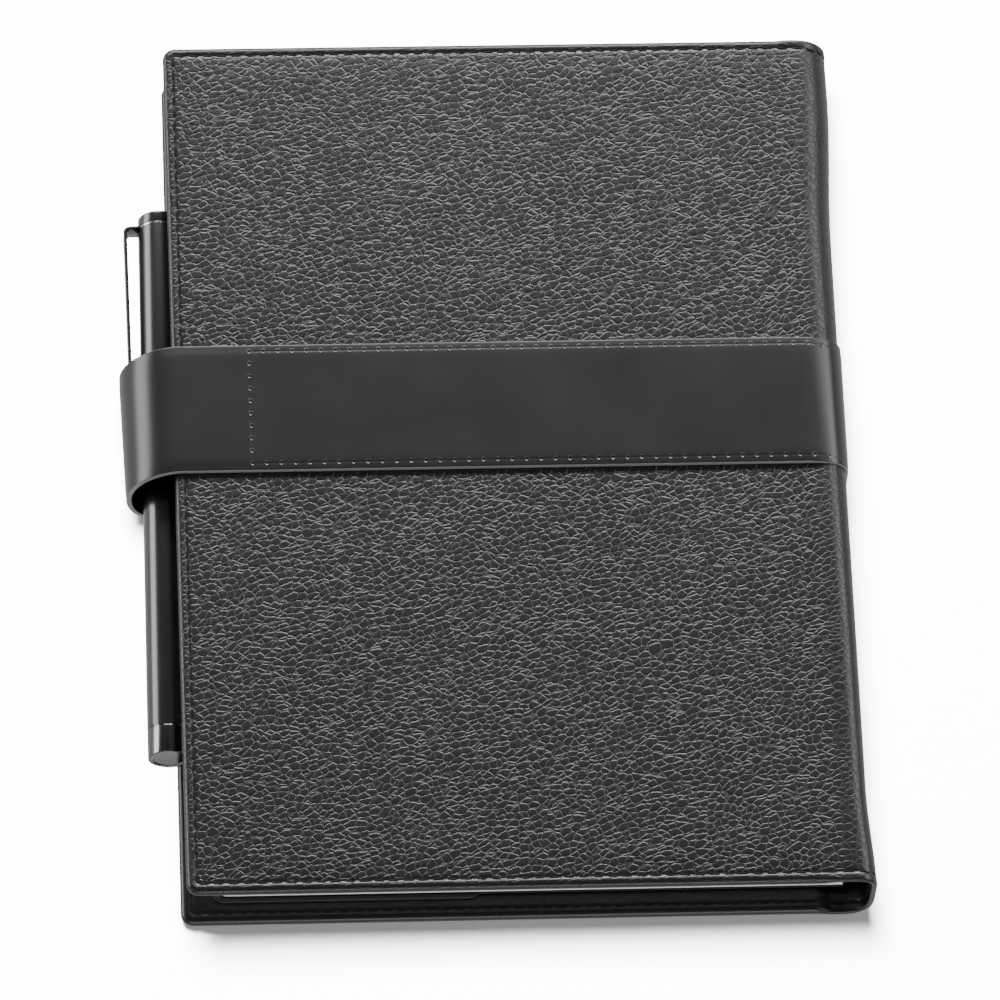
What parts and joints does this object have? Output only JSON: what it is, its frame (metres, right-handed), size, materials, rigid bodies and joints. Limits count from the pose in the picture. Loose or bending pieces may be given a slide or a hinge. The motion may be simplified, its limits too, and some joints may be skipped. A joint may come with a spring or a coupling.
{
  "type": "leather notebook cover",
  "caption": "Closed black pebbled leather cover for a page block, with a smooth leather strap whose end loops round a capped pen at the fore-edge.",
  "frame": {"origin": "under the middle of the closed cover with its pen, on the surface that the strap's underside rests on", "axes": "+X from the fore-edge with the pen towards the spine, +Y from the tail to the head of the cover, +Z from the back cover up to the front cover"},
  "size_m": [0.175, 0.222, 0.0244],
  "materials": {
    "cover_leather": "black pebbled grain, satin",
    "strap_leather": "black smooth leather, semi-gloss",
    "board": "grey greyboard, matte",
    "lining": "black fine woven lining, matte",
    "pocket_leather": "black smooth split leather, matte",
    "paper": "white uncoated writing paper",
    "refill_card": "black matte card",
    "binding_tape": "black book cloth tape",
    "thread": "black waxed sewing thread",
    "magnet": "nickel plated",
    "pen_lacquer": "black lacquer, satin gloss",
    "pen_polished": "black lacquer, high polish",
    "pen_steel": "steel",
    "pen_plastic": "black moulded plastic"
  },
  "bodies": {
    "back_cover": {"back_leather": "cover_leather", "back_board": "board", "back_lining": "lining", "back_sleeve": "pocket_leather", "strap_back": "strap_leather", "tab_magnet": "magnet", "refill_back_card": "refill_card", "lower_pages": "paper", "lower_binding_tape": "binding_tape"},
    "spine_lower": {"spine_leather_lower": "cover_leather", "spine_lining_lower": "lining", "spine_strap_lower": "strap_leather"},
    "spine_mid": {"spine_leather_mid": "cover_leather", "spine_lining_mid": "lining", "spine_strap_mid": "strap_leather"},
    "spine_upper": {"spine_leather_upper": "cover_leather", "spine_lining_upper": "lining", "spine_strap_upper": "strap_leather"},
    "front_cover": {"front_leather": "cover_leather", "front_board": "board", "front_lining": "lining", "document_pocket": "pocket_leather", "card_pocket": "pocket_leather", "strap_front": "strap_leather"},
    "upper_pages": {"upper_pages": "paper", "refill_front_card": "refill_card", "upper_binding_tape": "binding_tape"},
    "pen_loop": {"pen_loop": "strap_leather", "loop_magnet": "magnet"},
    "pen_barrel": {"barrel_tube": "pen_lacquer", "tail_cap": "pen_polished", "tail_ring": "pen_steel", "grip_section": "pen_plastic", "refill_tube": "pen_steel", "writing_tip": "pen_steel"},
    "pen_cap": {"cap_tube": "pen_lacquer", "cap_crown": "pen_polished", "cap_ring": "pen_polished", "cap_liner": "pen_plastic", "pen_clip": "pen_polished"}
  },
  "joints": [
    {"name": "cover_open", "type": "hinge", "parent": "back_cover", "child": "spine_lower", "pos_m": [0.08095, 0, 0], "axis": [0, 1, 0], "range_deg": [0, 45]},
    {"name": "spine_fold_2", "type": "hinge", "parent": "spine_lower", "child": "spine_mid", "pos_m": [0.08755, 0, 0.0066], "axis": [0, 1, 0], "range_deg": [0, 45]},
    {"name": "spine_fold_3", "type": "hinge", "parent": "spine_mid", "child": "spine_upper", "pos_m": [0.08755, 0, 0.0178], "axis": [0, 1, 0], "range_deg": [0, 45]},
    {"name": "spine_fold_4", "type": "hinge", "parent": "spine_upper", "child": "front_cover", "pos_m": [0.08095, 0, 0.0244], "axis": [0, 1, 0], "range_deg": [0, 45]},
    {"name": "page_turn", "type": "hinge", "parent": "back_cover", "child": "upper_pages", "pos_m": [0.0808, 0, 0.0122], "axis": [0, 1, 0], "range_deg": [0, 180]},
    {"name": "loop_swing", "type": "hinge", "parent": "front_cover", "child": "pen_loop", "pos_m": [-0.07605, 0, 0.0244], "axis": [0, 1, 0], "range_deg": [0, 95]},
    {"name": "pen_slide", "type": "slide", "parent": "front_cover", "child": "pen_barrel", "axis": [0.0079, 1, 0], "range_m": [0, 0.11]},
    {"name": "cap_pull", "type": "slide", "parent": "pen_barrel", "child": "pen_cap", "axis": [0.0079, 1, 0], "range_m": [0, 0.05]}
  ],
  "couplings": [
    {"joint": "spine_fold_2", "follows": "cover_open", "ratio": 1},
    {"joint": "spine_fold_3", "follows": "cover_open", "ratio": 1},
    {"joint": "spine_fold_4", "follows": "cover_open", "ratio": 1},
    {"joint": "page_turn", "follows": "cover_open", "ratio": 4}
  ]
}
